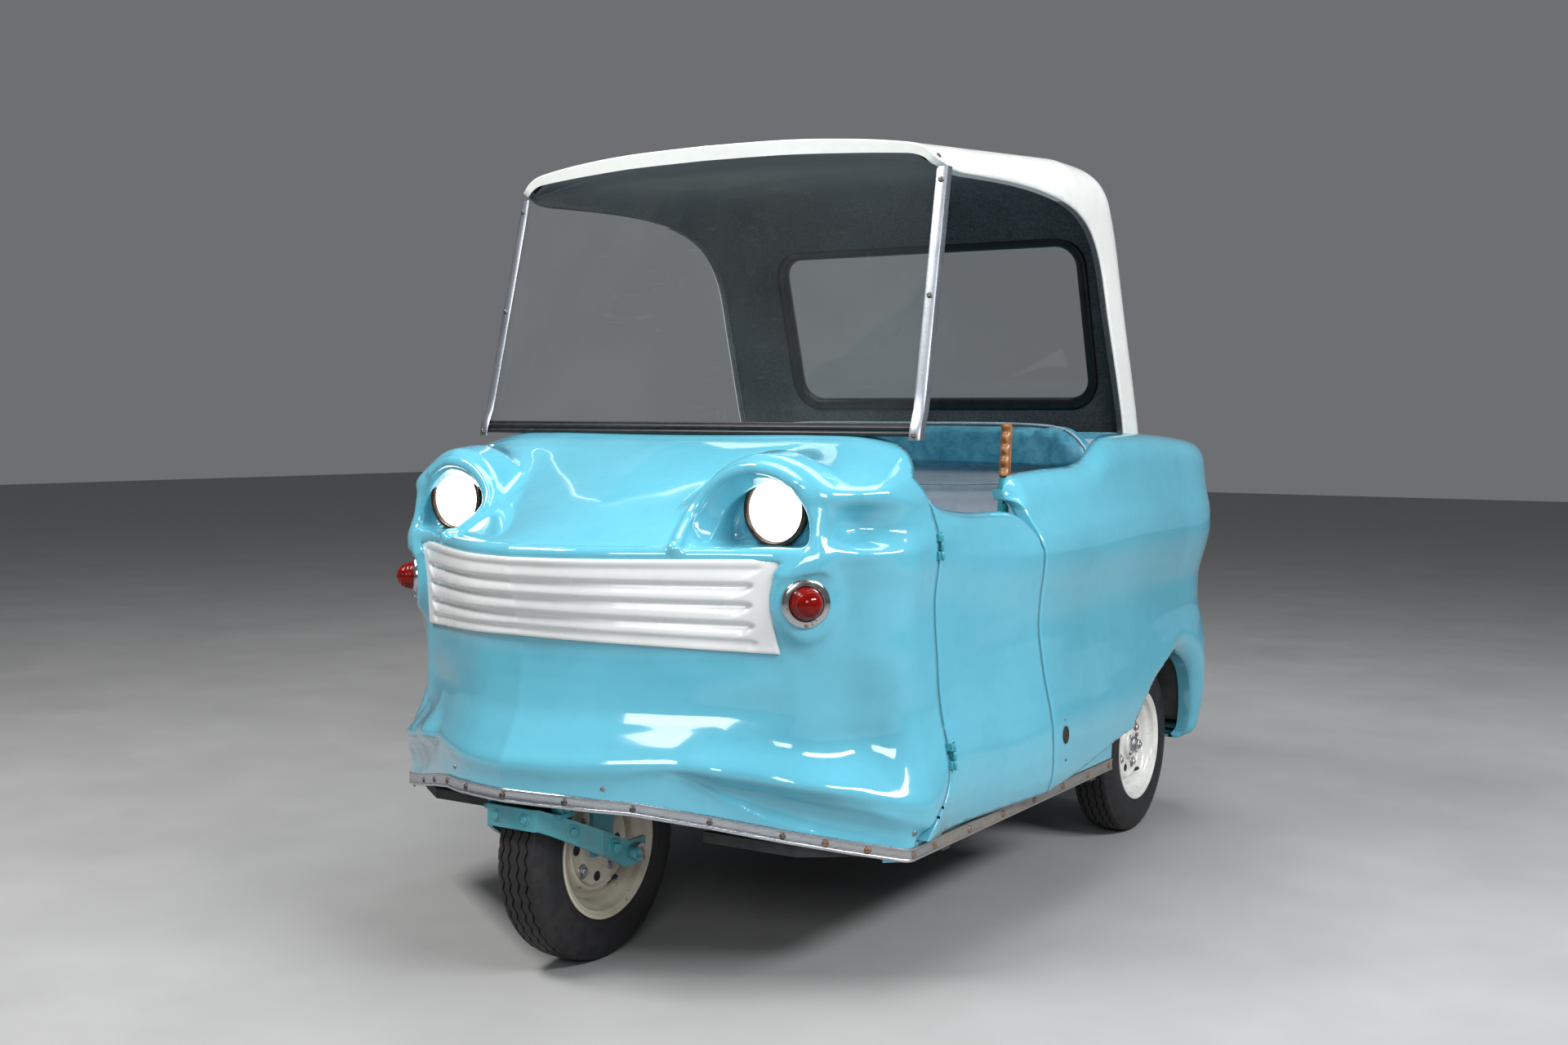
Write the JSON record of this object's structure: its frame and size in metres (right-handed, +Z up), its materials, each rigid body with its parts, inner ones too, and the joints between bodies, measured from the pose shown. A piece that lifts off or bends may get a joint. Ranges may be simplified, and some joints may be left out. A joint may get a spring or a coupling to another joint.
{
  "type": "three-wheeled electric car",
  "caption": "Small open-sided three-wheeled electric car: sculpted glossy body, hooded hard roof, curved screen, tiller steering, steered front wheel and hinged side doors.",
  "frame": {"origin": "on the floor, under the middle of the car's length and width", "axes": "+Z up, front of the car towards -Y, +X towards the car's left side"},
  "size_m": [1.21, 2.0388, 1.512],
  "materials": {
    "body_blue": "gloss turquoise glass-fibre gel coat",
    "roof_white": "gloss off-white glass-fibre moulding",
    "grille_white": "gloss white moulding",
    "chrome": "polished plated metal",
    "lamp_glass": "fluted clear lamp glass",
    "lens_red": "red-orange moulded lens",
    "trim_aluminium": "satin aluminium strip",
    "floor_dark": "dark undercoated glass-fibre",
    "chassis_paint": "black chassis paint",
    "suspension_teal": "brush-painted teal steel",
    "steel": "plain steel",
    "motor_grey": "grey cast housing",
    "clear_acrylic": "clear acrylic sheet with fine scratches",
    "seal_black": "black rubber extrusion",
    "seat_board": "lavender-grey painted board",
    "vinyl_blue": "blue grained vinyl",
    "battery_black": "black battery cases",
    "tyre": "black treaded rubber",
    "rim_cream": "cream painted pressed steel",
    "rim_white": "white painted pressed steel",
    "wood_grip": "varnished turned wood"
  },
  "bodies": {
    "body": {"front_body": "body_blue", "rear_body": "body_blue", "grille_panel": "grille_white", "headlamp_buckets": "chrome", "headlamp_lenses": "lamp_glass", "turn_signal_bezels": "chrome", "turn_signal_lenses": "lens_red", "tail_lamps": "lens_red", "sill_trim": "trim_aluminium", "floor_pan": "floor_dark", "front_wheel_housing": "floor_dark", "frame_rails": "chassis_paint", "cross_members": "chassis_paint", "steering_head": "suspension_teal", "windshield_glass": "clear_acrylic", "windshield_posts": "trim_aluminium", "windshield_seal": "seal_black", "roof_shell": "roof_white", "rear_window_glass": "clear_acrylic", "rear_window_gasket": "seal_black", "seat_base": "seat_board", "seat_cushion": "vinyl_blue", "seat_back": "vinyl_blue", "back_panel": "seat_board", "battery_pack": "battery_black", "pedals": "steel", "dash_panel": "body_blue", "tiller_bracket": "suspension_teal", "rear_axle": "chassis_paint", "leaf_springs": "chassis_paint", "drive_motor": "motor_grey", "plate_bracket": "trim_aluminium", "hinge_brackets": "steel"},
    "steering": {"fork": "suspension_teal", "yoke_band": "suspension_teal", "front_springs": "suspension_teal", "front_axle": "steel"},
    "front_wheel": {"front_tyre": "tyre", "front_rim": "rim_cream"},
    "rear_left_wheel": {"rear_left_tyre": "tyre", "rear_left_rim": "rim_white"},
    "rear_right_wheel": {"rear_right_tyre": "tyre", "rear_right_rim": "rim_white"},
    "left_door": {"left_door": "body_blue"},
    "right_door": {"right_door": "body_blue"},
    "tiller": {"tiller_lever": "suspension_teal", "tiller_grip": "wood_grip"}
  },
  "joints": [
    {"name": "steer", "type": "hinge", "parent": "body", "child": "steering", "pos_m": [0, -0.789, 0.2], "axis": [0, 0, 1], "range_deg": [-30, 30]},
    {"name": "front_wheel_spin", "type": "hinge", "parent": "steering", "child": "front_wheel", "pos_m": [0, -0.789, 0.2], "axis": [1, 0, 0], "continuous": true},
    {"name": "rear_left_spin", "type": "hinge", "parent": "body", "child": "rear_left_wheel", "pos_m": [0.44, 0.627, 0.2], "axis": [1, 0, 0], "continuous": true},
    {"name": "rear_right_spin", "type": "hinge", "parent": "body", "child": "rear_right_wheel", "pos_m": [-0.44, 0.627, 0.2], "axis": [1, 0, 0], "continuous": true},
    {"name": "left_door_hinge", "type": "hinge", "parent": "body", "child": "left_door", "pos_m": [0.571, -0.5315, 0.5525], "axis": [0.0787, 0, -0.9969], "range_deg": [0, 75]},
    {"name": "right_door_hinge", "type": "hinge", "parent": "body", "child": "right_door", "pos_m": [-0.571, -0.5315, 0.5525], "axis": [0.0787, 0, 0.9969], "range_deg": [0, 75]},
    {"name": "tiller_swing", "type": "hinge", "parent": "body", "child": "tiller", "pos_m": [0.445, -0.09, 0.3], "axis": [1, 0, 0], "range_deg": [-18, 18]}
  ],
  "couplings": [
    {"joint": "tiller_swing", "follows": "steer", "ratio": 0.6}
  ]
}
